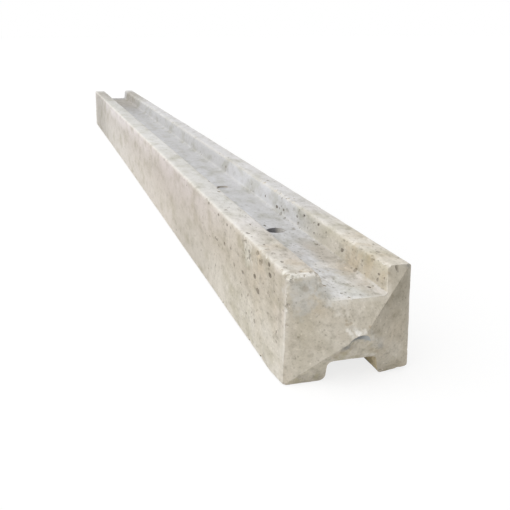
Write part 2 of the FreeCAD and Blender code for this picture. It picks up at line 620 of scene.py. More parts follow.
# %% Note the blowholes and knocks that have a place in the picture
# Each one is a column and a row of the picture, and a diameter in millimetres.
BLOWHOLES_IN_VIEW = [
    (260, 263.2, 5.6), (268.3, 264.5, 4.0), (269.2, 275, 4.6), (254, 276.5, 4.6), (257, 291.3, 5.4),
    (242.2, 272.3, 4.6), (267.5, 294.6, 4.4), (267.7, 314.5, 4.0), (282, 261.3, 3.0), (285, 266.5, 3.2),
    (291.5, 281.5, 2.2), (300.5, 271, 2.0), (315.9, 243.8, 3.6), (341.5, 250, 3.6),
    (325.6, 232.5, 2.4), (257, 220.7, 3.6), (257.5, 253, 3.6),
    (371, 259.4, 3.0), (355, 269.6, 3.0), (362, 260.6, 2.4), (378, 273.8, 2.0), (378.8, 251.3, 3.2),
    (397.6, 268.3, 3.4), (368.8, 286.3, 2.6), (361.3, 294.2, 2.8), (299, 210.5, 2.8), (303, 216, 3.0),
    (276.5, 206.5, 4.0), (286.5, 210, 4.6), (293.5, 209.5, 3.8), (280.5, 213.5, 3.6), (271.5, 209.5, 3.4),
    (284, 218, 3.6), (296.5, 216, 3.4), (283.3, 209.8, 2.8), (313.5, 223, 2.4), (318, 224.5, 2.6),
    (313.5, 233, 2.4), (317, 233.7, 2.0), (304, 215.5, 2.0), (276.5, 245.5, 3.0), (264, 243.8, 2.8),
    (248, 232.3, 3.0), (250, 224, 2.6), (281, 254, 2.8), (230, 248.3, 3.6), (216.3, 239.5, 3.0),
    (237.5, 254.5, 3.6), (248.5, 251.5, 3.2), (245, 241.5, 3.4), (233.5, 264.5, 3.6), (247, 258, 2.6),
    (242, 258, 2.6), (226.5, 225, 3.0), (218, 215, 3.0), (324.5, 277, 2.6), (349, 297, 2.6),
    (265, 196, 3.0), (264.5, 225, 2.8), (259, 209.5, 2.6), (279, 208.5, 2.8),
]
KNOCKS_IN_VIEW = [
    (286.5, 275.6, 6.0), (293.5, 276.8, 3.4), (318.6, 273.4, 5.6), (324, 285, 5.0), (349.3, 297.3, 3.6),
    (288, 305.5, 3.4), (286, 326, 3.6), (305, 275.3, 3.0), (381, 370.5, 4.0),
]


def noted_spots(name, spots):
    """Keep noted places as loose points on the skin, each with the radius of its cut."""
    mesh = bpy.data.meshes.new(name)
    mesh.from_pydata([seen_at(column, row)[0] for column, row, _ in spots], [], [])
    radii = [diameter / 2 * MM for _, _, diameter in spots]
    mesh.attributes.new("mouth", "FLOAT", "POINT").data.foreach_set("value", radii)
    return bpy.data.objects.new(name, mesh)


blowhole_spots = noted_spots("blowholes in view", BLOWHOLES_IN_VIEW)
knock_spots = noted_spots("knocks in view", KNOCKS_IN_VIEW)
print(len(BLOWHOLES_IN_VIEW), "blowholes and", len(KNOCKS_IN_VIEW), "knocks noted")

# %% [markdown]
# ## Writing node trees as Python
#
# Both the weathering and the finish are node trees. A small class wraps a socket, so that an
# expression such as `1 - mask * 0.5` adds its own Math nodes, and one method adds every other node.

# %% Wrap sockets so that expressions add nodes


def pick(sockets, key):
    """Find a socket among those in use, by its number, name or identifier."""
    used = [socket for socket in sockets if socket.enabled]
    if isinstance(key, int):
        return used[key]
    return next(socket for socket in used if key in (socket.identifier, socket.name))


class Wire:
    """A value that runs through a node tree. Python's operators on it add Math nodes."""

    def __init__(self, tree, socket=None):
        self.tree = tree
        self.socket = socket

    def add(self, kind, settings=None, sockets=None, output=0):
        """Add a node with its settings first, then its values or links, and return one of its outputs."""
        node = self.tree.nodes.new(kind)
        for name, value in (settings or {}).items():
            setattr(node, name, value)
        for key, value in (sockets or {}).items():
            socket = pick(node.inputs, key)
            for item in value if isinstance(value, list) else [value]:
                if isinstance(item, Wire):
                    self.tree.links.new(item.socket, socket)
                else:
                    socket.default_value = item
        return Wire(self.tree, pick(node.outputs, output) if node.outputs else None)

    def out(self, name):
        """Return another output of the same node."""
        return Wire(self.tree, pick(self.socket.node.outputs, name))

    def math(self, operation, *values):
        """Add a Math node over some values."""
        return self.add("ShaderNodeMath", {"operation": operation}, dict(enumerate(values)))

    def __add__(self, other):
        return self.math("ADD", self, other)

    def __radd__(self, other):
        return self.math("ADD", other, self)

    def __sub__(self, other):
        return self.math("SUBTRACT", self, other)

    def __rsub__(self, other):
        return self.math("SUBTRACT", other, self)

    def __mul__(self, other):
        return self.math("MULTIPLY", self, other)

    def __rmul__(self, other):
        return self.math("MULTIPLY", other, self)

    def __pow__(self, other):
        return self.math("POWER", self, other)

    def __neg__(self):
        return self.math("MULTIPLY", self, -1.0)

    def __abs__(self):
        return self.math("ABSOLUTE", self)

    def rise(self, start, end):
        """Go smoothly from 0 to 1 while the value goes from start to end."""
        settings = {"interpolation_type": "SMOOTHSTEP"}
        return self.add("ShaderNodeMapRange", settings, {"Value": self, "From Min": start, "From Max": end})

    def span(self, start, end, soft):
        """Be 1 between two values and fade to 0 outside them. None leaves that side open."""
        inside = 1 if start is None else self.rise(start - soft, start + soft)
        return inside if end is None else inside * (1 - self.rise(end - soft, end + soft))


print("node helper ready")

# %% [markdown]
# ## Weathering the casting
#
# Trapped air leaves blowholes on the walls that stood against the mould, most of them on the upper
# part of the sides. Knocks follow the arrises. Both repeat by the hundred and follow the surface, so a
# Geometry Nodes tree strews small balls over the skin and along its edges and cuts them out. Those that
# were noted by their pixel are set on the skin in the same way. First the tree lets the surface sway a
# little, as a worn mould does, and rubs the edges down unevenly.

# %% Name the tree's inputs and patterns
WEATHERING_INPUTS = {
    "Casting": "NodeSocketGeometry",
    "Open hole": "NodeSocketObject",
    "Filled hole": "NodeSocketObject",
    "Broken tip": "NodeSocketObject",
    "Flaked tip": "NodeSocketObject",
    "Blowholes in view": "NodeSocketObject",
    "Knocks in view": "NodeSocketObject",
    "Worn edges": "NodeSocketObject",
    "Sway depth": "NodeSocketFloat",
    "Grain depth": "NodeSocketFloat",
    "Edge wear": "NodeSocketFloat",
    "Blowhole gap": "NodeSocketFloat",
    "Blowholes per square metre": "NodeSocketFloat",
    "Smallest blowhole": "NodeSocketFloat",
    "Largest blowhole": "NodeSocketFloat",
    "Knock gap": "NodeSocketFloat",
    "Knock share": "NodeSocketFloat",
    "Largest knock": "NodeSocketFloat",
    "Seed": "NodeSocketInt",
    "Concrete": "NodeSocketMaterial",
}
# Each pattern's scale and detail. It is about 1 / scale metres across, or 1 / scale radii on a lump.
CAST_PATTERNS = {
    "sway": (11.0, 2.0),
    "grain": (170.0, 3.0),
    "rub": (60.0, 4.0),
    "clumps": (14.0, 2.0),
    "rough cut": (330.0, 1.0),
    "lump": (1.7, 1.0),
}


def cast_pattern(tree, name, position, output="Fac"):
    """Make the noise pattern of that name."""
    scale, detail = CAST_PATTERNS[name]
    return tree.add("ShaderNodeTexNoise", {}, {"Vector": position, "Scale": scale, "Detail": detail}, output)


def scaled(tree, vector, scale):
    """Multiply a vector by a number."""
    return tree.add("ShaderNodeVectorMath", {"operation": "SCALE"}, {"Vector": vector, "Scale": scale})


print("weathering has", len(WEATHERING_INPUTS), "inputs and", len(CAST_PATTERNS), "patterns")

# %% Wear the surface
LEAST_RUB = 0.25
RUB_SHARPNESS = 2.0


def worn_surface(tree, inputs, position, normal):
    """Move the skin inwards a little: a slow sway, a fine grain, and wear along the arrises."""
    wear = tree.add("GeometryNodeInputNamedAttribute", {"data_type": "FLOAT"}, {"Name": "wear"})
    rub = LEAST_RUB + cast_pattern(tree, "rub", position).rise(0.4, 0.75)
    loss = cast_pattern(tree, "sway", position) * inputs["Sway depth"]
    loss = loss + cast_pattern(tree, "grain", position) * inputs["Grain depth"]
    loss = loss + wear ** RUB_SHARPNESS * rub * inputs["Edge wear"]
    moving = {"Geometry": inputs["Casting"], "Offset": scaled(tree, normal, -loss)}
    return tree.add("GeometryNodeSetPosition", {}, moving)


print("edges lose at least", LEAST_RUB, "of the edge wear")

# %% Make the bodies that cut blowholes and knocks
MOUTH_ANGLE = math.radians(48)
WIDENING = 1 / math.sin(MOUTH_ANGLE)
BALL_DIVISIONS = 2
NOTED_BLOWHOLE_DIRT = 1.0
STREWN_BLOWHOLE_DIRT = 0.6
KNOCK_FRACTURE = 0.7
MIDDLE_GREY = (0.5, 0.5, 0.5)


def unit_ball(tree):
    """Make a ball of radius one with few faces, because it is repeated by the hundred."""
    sizes = {"Radius": 1.0, "Subdivisions": BALL_DIVISIONS}
    return tree.add("GeometryNodeMeshIcoSphere", {}, sizes, "Mesh")


def with_mark(tree, body, name, value):
    """Mark the faces of a cutting body, so that the finish finds where it cut."""
    sockets = {"Geometry": body, "Name": name, "Value": value}
    return tree.add("GeometryNodeStoreNamedAttribute", {"domain": "FACE", "data_type": "FLOAT"}, sockets)


def roughened(tree, bodies, name, position, depth):
    """Push the surface of some cutting bodies about, so that no two cuts look alike."""
    push = cast_pattern(tree, name, position, "Color")
    push = tree.add("ShaderNodeVectorMath", {"operation": "SUBTRACT"}, {0: push, 1: MIDDLE_GREY})
    moving = {"Geometry": bodies, "Offset": scaled(tree, push, depth)}
    return tree.add("GeometryNodeSetPosition", {}, moving)


def blowhole_ball(tree, dirt):
    """Make the ball that cuts a blowhole, raised so that only a shallow cap of it cuts."""
    raised = {"Geometry": unit_ball(tree), "Translation": (0.0, 0.0, math.cos(MOUTH_ANGLE))}
    return with_mark(tree, tree.add("GeometryNodeTransform", {}, raised), "blowhole", dirt)


def knock_lump(tree, position):
    """Make the rough lump that cuts a knock."""
    lump = roughened(tree, unit_ball(tree), "lump", position, 1.0)
    return with_mark(tree, lump, "fracture", KNOCK_FRACTURE)


print("a ball is", round(WIDENING, 2), "times as wide as the blowhole's mouth")

# %% Place the cuts
CUT_ROUGHNESS = 2.4 * MM
NARROWEST_BLOWHOLE = (1.0, 0.8, 1.0)
WIDEST_BLOWHOLE = (2.0, 1.1, 1.0)
SMALL_BLOWHOLES = 2.5
SMALL_KNOCKS = 2.0
SMALLEST_KNOCK_SHARE = 0.35


def blowhole_share(tree, position, normal):
    """Say where blowholes are common: high on the sides, near the top of the post, and in clumps."""
    x = tree.add("ShaderNodeSeparateXYZ", {}, {"Vector": position}, "X")
    y, z = x.out("Y"), x.out("Z")
    facing = tree.add("ShaderNodeSeparateXYZ", {}, {"Vector": normal}, "X")
    side = abs(facing.out("Y")).rise(0.5, 0.85) * (0.3 + 0.7 * z.rise(0.01, 0.07))
    above = facing.out("Z").rise(0.5, 0.85)
    below = (-facing.out("Z")).rise(0.5, 0.85)
    in_slot = above * (1 - abs(y - slot_middle).rise(0.02, 0.026))
    right_wall = (y - slot_middle).span(0.024, 0.034, 0.002) * z.rise(0.074, 0.078)
    speckled = right_wall * x.span(0.55, 0.68, 0.05)
    share = side + 0.6 * (above - in_slot) + 0.1 * in_slot + 2.0 * speckled + 0.3 * below
    clumps = cast_pattern(tree, "clumps", position).rise(0.35, 0.65)
    return share * (0.12 + 0.88 * x.rise(0.1, 0.85)) * (0.25 + clumps)


def turned_to(tree, direction):
    """Turn a cutter so that its own upward axis points in a direction."""
    return tree.add("FunctionNodeAlignRotationToVector", {"axis": "Z"}, {"Vector": direction})


def placed(tree, points, cutter, rotation, size, **choice):
    """Put a copy of a cutter at each point, and make the copies real."""
    placing = {"Points": points, "Instance": cutter, "Rotation": rotation, "Scale": size, **choice}
    copies = tree.add("GeometryNodeInstanceOnPoints", {}, placing)
    return tree.add("GeometryNodeRealizeInstances", {}, {"Geometry": copies})


def set_on_skin(tree, spots, skin, cutter, position, normal, widening):
    """Set a cutter on the worn skin at each noted spot, as large as the spot says."""
    points = tree.add("GeometryNodeObjectInfo", {}, {"Object": spots}, "Geometry")
    touching = {"Geometry": skin, "Source Position": position}
    touch = tree.add("GeometryNodeProximity", {}, touching, "Position")
    points = tree.add("GeometryNodeSetPosition", {}, {"Geometry": points, "Position": touch})
    sampling = {"Mesh": skin, "Value": normal, "Sample Position": position}
    facing = tree.add("GeometryNodeSampleNearestSurface", {"data_type": "FLOAT_VECTOR"}, sampling)
    mouth = tree.add("GeometryNodeInputNamedAttribute", {"data_type": "FLOAT"}, {"Name": "mouth"})
    cutters = placed(tree, points, cutter, turned_to(tree, facing), scaled(tree, widening, mouth))
    return roughened(tree, cutters, "rough cut", position, CUT_ROUGHNESS)


def strewn_blowholes(tree, inputs, skin, ball, position, normal):
    """Strew balls over the skin, many small and a few large."""
    strewing = {
        "Mesh": skin,
        "Distance Min": inputs["Blowhole gap"],
        "Density Max": inputs["Blowholes per square metre"],
        "Density Factor": blowhole_share(tree, position, normal),
        "Seed": inputs["Seed"],
    }
    method = {"distribute_method": "POISSON"}
    points = tree.add("GeometryNodeDistributePointsOnFaces", method, strewing, "Points")
    chance = tree.add("FunctionNodeRandomValue", {}, {"Min": 0.0, "Max": 1.0, "Seed": inputs["Seed"]})
    growth = inputs["Largest blowhole"] - inputs["Smallest blowhole"]
    radius = inputs["Smallest blowhole"] + growth * chance ** SMALL_BLOWHOLES
    limits = {"Min": NARROWEST_BLOWHOLE, "Max": WIDEST_BLOWHOLE}
    stretch = tree.add("FunctionNodeRandomValue", {"data_type": "FLOAT_VECTOR"}, limits)
    size = scaled(tree, stretch, radius * WIDENING)
    balls = placed(tree, points, ball, turned_to(tree, points.out("Normal")), size)
    return roughened(tree, balls, "rough cut", position, CUT_ROUGHNESS)


def strewn_knocks(tree, inputs, lump):
    """Strew rough lumps along the worn edges, a few large and many small."""
    lines = tree.add("GeometryNodeObjectInfo", {}, {"Object": inputs["Worn edges"]}, "Geometry")
    curves = tree.add("GeometryNodeMeshToCurve", {}, {"Mesh": lines})
    spacing = {"Curve": curves, "Length": inputs["Knock gap"]}
    curves = tree.add("GeometryNodeResampleCurve", {"mode": "LENGTH"}, spacing)
    points = tree.add("GeometryNodeCurveToPoints", {"mode": "EVALUATED"}, {"Curve": curves}, "Points")
    choosing = {"Probability": inputs["Knock share"], "Seed": inputs["Seed"]}
    chosen = tree.add("FunctionNodeRandomValue", {"data_type": "BOOLEAN"}, choosing)
    limits = {"Min": SMALLEST_KNOCK_SHARE, "Max": 1.0, "Seed": inputs["Seed"]}
    chance = tree.add("FunctionNodeRandomValue", {}, limits)
    turns = {"Min": (0.0, 0.0, 0.0), "Max": (math.tau, math.tau, math.tau)}
    turn = tree.add("FunctionNodeRandomValue", {"data_type": "FLOAT_VECTOR"}, turns)
    size = chance ** SMALL_KNOCKS * inputs["Largest knock"]
    return placed(tree, points, lump, turn, size, Selection=chosen)


print("strewn blowholes are up to", WIDEST_BLOWHOLE[0], "times as long as wide")

# %% Build the weathering tree
NOTED_BLOWHOLE_STRETCH = 2.0
NOTED_BLOWHOLE_SIZE = (WIDENING * NOTED_BLOWHOLE_STRETCH, WIDENING, WIDENING)
NOTED_KNOCK_SIZE = (1.0, 1.0, 1.0)


def weathering_tree():
    """Build the tree that wears the casting and cuts its holes, blowholes and knocks."""
    group = bpy.data.node_groups.new("weathered casting", "GeometryNodeTree")
    for name, kind in WEATHERING_INPUTS.items():
        group.interface.new_socket(name, in_out="INPUT", socket_type=kind)
    group.interface.new_socket("Weathered casting", in_out="OUTPUT", socket_type="NodeSocketGeometry")
    tree = Wire(group)
    entry = tree.add("NodeGroupInput")
    inputs = {name: entry.out(name) for name in WEATHERING_INPUTS}
    position = tree.add("GeometryNodeInputPosition")
    normal = tree.add("GeometryNodeInputNormal", {}, {}, "Normal")
    skin = worn_surface(tree, inputs, position, normal)
    lump = knock_lump(tree, position)
    strewn_ball = blowhole_ball(tree, STREWN_BLOWHOLE_DIRT)
    cutters = [strewn_blowholes(tree, inputs, skin, strewn_ball, position, normal)]
    cutters.append(strewn_knocks(tree, inputs, lump))
    noted = [
        ("Blowholes in view", blowhole_ball(tree, NOTED_BLOWHOLE_DIRT), NOTED_BLOWHOLE_SIZE),
        ("Knocks in view", lump, NOTED_KNOCK_SIZE),
    ]
    for name, cutter, size in noted:
        cutters.append(set_on_skin(tree, inputs[name], skin, cutter, position, normal, size))
    for name in ("Open hole", "Filled hole", "Broken tip", "Flaked tip"):
        cutters.append(tree.add("GeometryNodeObjectInfo", {}, {"Object": inputs[name]}, "Geometry"))
    settings = {"operation": "DIFFERENCE", "solver": "MANIFOLD"}
    cut = tree.add("GeometryNodeMeshBoolean", settings, {"Mesh 1": skin, "Mesh 2": cutters}, "Mesh")
    whole = tree.add("GeometryNodeRealizeInstances", {}, {"Geometry": cut})
    coated = tree.add("GeometryNodeSetMaterial", {}, {"Geometry": whole, "Material": inputs["Concrete"]})
    tree.add("NodeGroupOutput", {}, {"Weathered casting": coated})
    return group


weathering = weathering_tree()
print("weathering tree has", len(weathering.nodes), "nodes")

# %% [markdown]
# ## The concrete finish
#
# Cast concrete is never one colour. Cement skin, sand, rain and handling each leave their own layer,
# from broad warm and pale areas down to single grains. The finish is built the same way, coarse layers
# first, and all of it hangs on the post's own coordinates, so that it stays put and can be baked.

# %% Name the patterns of the finish
# Each pattern's scale, detail and roughness. It is about 1 / scale metres across.
PATTERNS = {
    "broad clouds": (12.0, 3.0, 0.55),
    "clouds": (42.0, 5.0, 0.6),
    "dapple": (125.0, 4.0, 0.65),
    "streaks": (120.0, 3.0, 0.55),
    "stain": (24.0, 4.0, 0.55),
    "ragged edge": (110.0, 5.0, 0.65),
    "sand grains": (380.0, 4.0, 0.7),
    "rub": (75.0, 5.0, 0.65),
    "grit": (800.0, 3.0, 0.6),
    "crumbs": (240.0, 5.0, 0.65),
    "blotches": (110.0, 4.0, 0.6),
    "hole dirt": (60.0, 1.0, 0.55),
    "flakes": (230.0, 2.0, 0.55),
    "water line": (20.0, 3.0, 0.55),
    "grime": (95.0, 3.0, 0.55),
}


def mottle(place, name):
    """Make the cloudy pattern of that name. Its number in the table keeps it unlike the others."""
    scale, detail, roughness = PATTERNS[name]
    kind = 1.0 + list(PATTERNS).index(name)
    sockets = {"Vector": place, "W": kind, "Scale": scale, "Detail": detail, "Roughness": roughness}
    return place.add("ShaderNodeTexNoise", {"noise_dimensions": "4D"}, sockets, "Fac")


def stretched(place, scale):
    """Stretch the coordinates, so that a pattern runs along one direction."""
    return place.add("ShaderNodeMapping", {"vector_type": "POINT"}, {"Vector": place, "Scale": scale})


print("patterns in mm", {name: round(1 / scale / MM, 1) for name, (scale, _, _) in PATTERNS.items()})

# %% Lay colours over one another
PLAIN_WARMTH = 1.15
GREEN_WARMTH = 1.03


def blend(factor, under, over, mode="MIX"):
    """Lay one colour over another."""
    settings = {"data_type": "RGBA", "blend_type": mode}
    sockets = {"Factor_Float": factor, "A_Color": under, "B_Color": over}
    return factor.add("ShaderNodeMix", settings, sockets, "Result_Color")


def layered(colour, layers):
    """Lay colours over a first one, each by its own mask."""
    for mask, over in layers:
        colour = blend(mask, colour, over)
    return colour


def tone(factor, colour, level, warmth=PLAIN_WARMTH):
    """Make a colour darker and a little warmer, or lighter and cooler where the level is over 1."""
    return blend(factor, colour, (level, level ** GREEN_WARMTH, level ** warmth, 1.0), "MULTIPLY")


def toned(colour, shades):
    """Darken or lighten a colour by each mask, with its level and, if it has its own, its warmth."""
    for mask, *shade in shades:
        colour = tone(mask, colour, *shade)
    return colour


print("a level of 0.8 leaves", round(0.8 ** PLAIN_WARMTH, 3), "of the blue")

# %% Mix the colours of the concrete


def paint(red, green, blue):
    """Turn an everyday colour, 0 to 255, into the linear colour that a socket takes."""
    def linear(value):
        share = value / 255
        return share / 12.92 if share <= 0.04045 else ((share + 0.055) / 1.055) ** 2.4
    return linear(red), linear(green), linear(blue), 1.0


WARM_CEMENT = paint(204, 195, 178)
PALE_CEMENT = paint(224, 219, 209)
WASHED_CEMENT = paint(231, 230, 228)
PINK_CEMENT = paint(212, 203, 195)
GREY_CEMENT = paint(206, 204, 199)
COOL_SLOT = paint(213, 213, 215)
DAMP_SLOT = paint(190, 181, 166)
FAR_BAND = paint(186, 181, 174)
OCHRE_STAIN = paint(200, 180, 146)
BROWN_STAIN_AND_SHADE = paint(158, 138, 106)
# Pale rusty ochre of the lower slot, lightened as painted light in its shade.
RUST_AND_LIGHT_LOWER_SLOT = paint(252, 236, 202)
WORN_WHITE = paint(238, 234, 226)
# Fresh white of chips, also used as painted light on the bolt hole's right side.
FRESH_WHITE_AND_LIGHT = paint(253, 250, 244)
# Blue-grey torn stone, dark enough to also be the painted shadow under the tip's lip.
FRACTURE_GREY_AND_SHADE = paint(112, 120, 128)
# Painted light on the right part of the lip's underside.
LIP_PAINTED_LIGHT = paint(212, 216, 216)
BLOWHOLE_DIRT = paint(112, 104, 92)
# Painted shade inside the bolt holes.
BORE_SHADE = paint(134, 135, 142)
print("warm cement is", [round(value, 3) for value in WARM_CEMENT[:3]])

# %% [markdown]
# ### Where a layer lies
#
# A layer knows its place from the post's coordinates and from the way the surface faces. x runs along
# the post, from the butt end to the tip, y across it and z up, all in metres. The masks that several
# layers need are made once, each 1 on its own part of the post and 0 elsewhere.

# %% Mask the parts of the post
ALONG_STRETCH = (0.5, 1.0, 1.0)


class Ground:
    """The coordinates, directions and parts of the post's surface that every layer reads."""

    def __init__(self, tree):
        self.place = tree.add("ShaderNodeTexCoord", {}, {}, "Object")
        self.along = stretched(self.place, ALONG_STRETCH)
        self.x = tree.add("ShaderNodeSeparateXYZ", {}, {"Vector": self.place}, "X")
        self.y, self.z = self.x.out("Y"), self.x.out("Z")
        self.front = tree.add("ShaderNodeSeparateXYZ", {}, {"Vector": self.place.out("Normal")}, "X")
        self.across, self.up = self.front.out("Y"), self.front.out("Z")
        self.near = self.x.rise(0.45, 0.8)
        self.facets = self.front.rise(0.6, 0.85)
        self.tops = self.up.rise(0.5, 0.9)
        self.sides = abs(self.across).rise(0.6, 0.9)
        between_flanges = 1 - abs(self.y - slot_middle).rise(0.03, 0.034)
        self.in_slot = between_flanges * self.z.rise(web_top - 0.012, web_top - 0.006)
        self.slot_floor = self.tops * self.in_slot * (1 - self.z.rise(web_top + 0.004, web_top + 0.01))
        self.slot_walls = self.in_slot * self.sides
        self.outer_sides = self.sides * (1 - self.in_slot)
        self.low_side = self.sides * (1 - self.z.rise(0.02, 0.06))

    def mark(self, name):
        """Read a mark that the skin got, or that a cutting body left on it."""
        return self.place.add("ShaderNodeAttribute", {"attribute_name": name}, {}, "Fac")


def post_parts(ground):
    """Mask the parts of the post that get a shade of their own, by name."""
    right_wall = ground.slot_walls * ground.y.rise(0.02, 0.024)
    upper_side = ground.outer_sides * ground.z.rise(0.03, 0.07)
    return {
        "slot": ground.in_slot,
        "slot walls": ground.slot_walls,
        "high right wall": right_wall * ground.z.rise(0.082, 0.09),
        "low right wall": right_wall * (1 - ground.z.rise(0.076, 0.084)),
        "slot floor": ground.slot_floor,
        "left of floor": ground.slot_floor * (1 - ground.y.rise(slot_middle - 0.014, slot_middle + 0.01)),
        "left top": ground.tops * (-ground.y).rise(0.024, 0.028),
        "right top": ground.tops * ground.y.rise(0.03, 0.036),
        "low side": ground.low_side,
        "upper side": upper_side,
        "middle of upper side": upper_side * ground.z.span(0.054, 0.076, 0.008),
        "top of upper side": upper_side * ground.z.rise(0.05, 0.074),
        "below the arris": upper_side * ground.z.rise(0.066, 0.086),
    }


print("x runs from", round(low.x, 3), "to", round(high.x, 3))

# %% [markdown]
# ### Cement skin
#
# The cement skin is warm on the sides and ends, and paler and cooler where rain washes it: on the
# flange tops and on the floor of the slot. It isn't even along the post, so a table lists which part
# is darker or lighter over which stretch. Clouds break it up, and water has drawn fine streaks down
# the sides.

# %% Lay the cement skin


def cement_skin(ground):
    """Mix warm, pale and washed cement over the post, from its near top to its far end."""
    broad = mottle(ground.along, "broad clouds")
    washed = ground.tops + 0.85 * ground.slot_walls + 0.4 * (1 - ground.x.rise(-0.6, 0.4))
    return layered(WARM_CEMENT, [
        (broad.rise(0.4, 0.7) * 0.4, PALE_CEMENT),
        (ground.low_side * 0.75, PALE_CEMENT),
        (ground.tops * 0.35, PALE_CEMENT),
        (ground.sides * (1 - ground.x.rise(0.3, 0.8)) * 0.6, PINK_CEMENT),
        (washed * (1 - ground.x.rise(0.56, 0.84)) * 0.9, WASHED_CEMENT),
    ])


def slot_skin(ground, colour):
    """Make the slot cool and washed, with a damp strip along the right of its floor near the top."""
    water_line = ground.y + 0.03 * mottle(ground.place, "water line")
    damp = ground.slot_floor * water_line.rise(slot_middle + 0.013, slot_middle + 0.027)
    damp = damp * (ground.x.rise(0.67, 0.73) - 0.25 * ground.x.rise(0.78, 0.83))
    return layered(colour, [
        (ground.slot_floor * 0.85, COOL_SLOT),
        (ground.slot_floor * ground.x.rise(0.77, 0.82) * 0.7, WASHED_CEMENT),
        (damp * 0.7, DAMP_SLOT),
        (ground.slot_walls * (1 - ground.x.rise(0.62, 0.72)) * 0.8, COOL_SLOT),
    ])


print("cement skin ready")

# %% Shade the parts of the post along its length
# Each row is a part, the stretch of x where it is shaded, how softly that ends, the level and the warmth.
SHADES = [
    ("slot", None, 0.4, 0.2, 0.92),
    ("slot walls", 0.655, 0.73, 0.02, 0.88, 1.3),
    ("slot walls", 0.36, 0.54, 0.05, 1.1),
    ("high right wall", 0.71, None, 0.03, 0.96, 2.0),
    ("low right wall", 0.71, None, 0.03, 0.97),
    ("slot floor", 0.795, None, 0.015, 1.08),
    ("slot floor", 0.42, 0.72, 0.05, 0.93),
    ("slot floor", None, -0.45, 0.2, 0.8, 1.0),
    # Painted light: lifts the slot floor beside the left flange, where that flange's shade falls.
    ("left of floor", -0.55, 0.72, 0.05, 1.14),
    ("left top", 0.8225, None, 0.0125, 0.94),
    ("left top", 0.67, None, 0.03, 1.05, 2.0),
    ("left top", 0.2, 0.62, 0.06, 0.94),
    ("left top", None, 0.0, 0.2, 0.9),
    ("right top", 0.72, None, 0.04, 1.08),
    ("right top", None, 0.68, 0.04, 0.93, 0.7),
    ("low side", 0.63, None, 0.05, 0.95),
    ("low side", 0.38, 0.6, 0.06, 0.85),
    ("low side", None, -0.4, 0.2, 0.9),
    ("upper side", 0.82, None, 0.008, 1.18, 1.3),
    ("upper side", 0.25, None, 0.15, 0.94, 0.7),
    ("upper side", None, 0.6, 0.1, 0.96, 0.6),
    ("middle of upper side", 0.3, 0.64, 0.06, 1.1),
    ("top of upper side", 0.66, 0.785, 0.03, 1.08),
    ("below the arris", None, 0.64, 0.06, 1.19, 1.3),
]


def part_shades(ground, colour):
    """Darken or lighten the parts of the post that the table names."""
    parts = post_parts(ground)
    shades = []
    for name, start, end, soft, *shade in SHADES:
        shades.append((parts[name] * ground.x.span(start, end, soft), *shade))
    return toned(colour, shades)


def facet_shades(ground, colour):
    """Give each facet of the weathered top its own tone, partly painted shade on the right, with grime on
    the lower one.
    """
    right_flange = ground.facets * ground.up.rise(0.2, 0.4) * ground.y.rise(0.03, 0.034)
    left_facet = ground.facets * (-ground.across).rise(0.2, 0.35)
    right_facet = ground.facets * ground.across.rise(0.2, 0.4)
    lower_facet = ground.facets * (-ground.up).rise(0.2, 0.4)
    grime = mottle(ground.place, "grime")
    return toned(colour, [
        # Partly painted shade: the right flange's end and the upper right facet face away from the lamp, and
        # are also darker in their own tone.
        (right_flange * (0.6 + 0.4 * ground.z.rise(0.078, 0.088)), 0.8),
        (left_facet * (1 - ground.z.rise(0.02, 0.05)), 1.02),
        (right_facet * ground.z.rise(0.035, 0.08), 0.73),
        (right_facet * (1 - ground.z.rise(0.016, 0.036)), 1.08),
        (lower_facet * grime.rise(0.5, 0.66), 0.86, 1.9),
        (lower_facet * (1 - grime.rise(0.34, 0.5)), 1.05, 0.4),
    ])


print(len(SHADES), "shades along the post")

# %% Break the skin up with clouds and streaks
STREAK_STRETCH = (1.0, 1.0, 0.12)


def cement_clouds(ground, colour):
    """Break the cement up into darker and lighter clouds, blotched where it isn't a side wall."""
    clouds = mottle(ground.along, "clouds")
    dapple = mottle(ground.along, "dapple")
    blotches = mottle(ground.along, "blotches")
    calm = 1 - 0.4 * ground.facets
    clear = 0.6 + 0.4 * ground.near
    flat_cast = (1 - ground.sides) * (0.4 + 0.6 * ground.near) * calm
    return toned(colour, [
        (clouds.rise(0.44, 0.7) * calm, 0.8, 1.4),
        (dapple.rise(0.5, 0.72) * clear, 1.1),
        ((1 - dapple.rise(0.28, 0.5)) * clear, 0.76),
        (flat_cast * blotches.rise(0.5, 0.7), 1.14),
        (flat_cast * (1 - blotches.rise(0.3, 0.48)), 0.8),
    ])


def rain_streaks(ground, colour):
    """Draw fine streaks down the sides."""
    streaks = mottle(stretched(ground.place, STREAK_STRETCH), "streaks")
    walls = ground.outer_sides * ground.x.rise(0.2, 0.8)
    return toned(colour, [
        (walls * streaks.rise(0.52, 0.75), 1.06),
        (walls * (1 - streaks.rise(0.28, 0.48)), 0.88),
    ])


print("streaks are", round(1 / STREAK_STRETCH[2], 1), "times as long as wide")
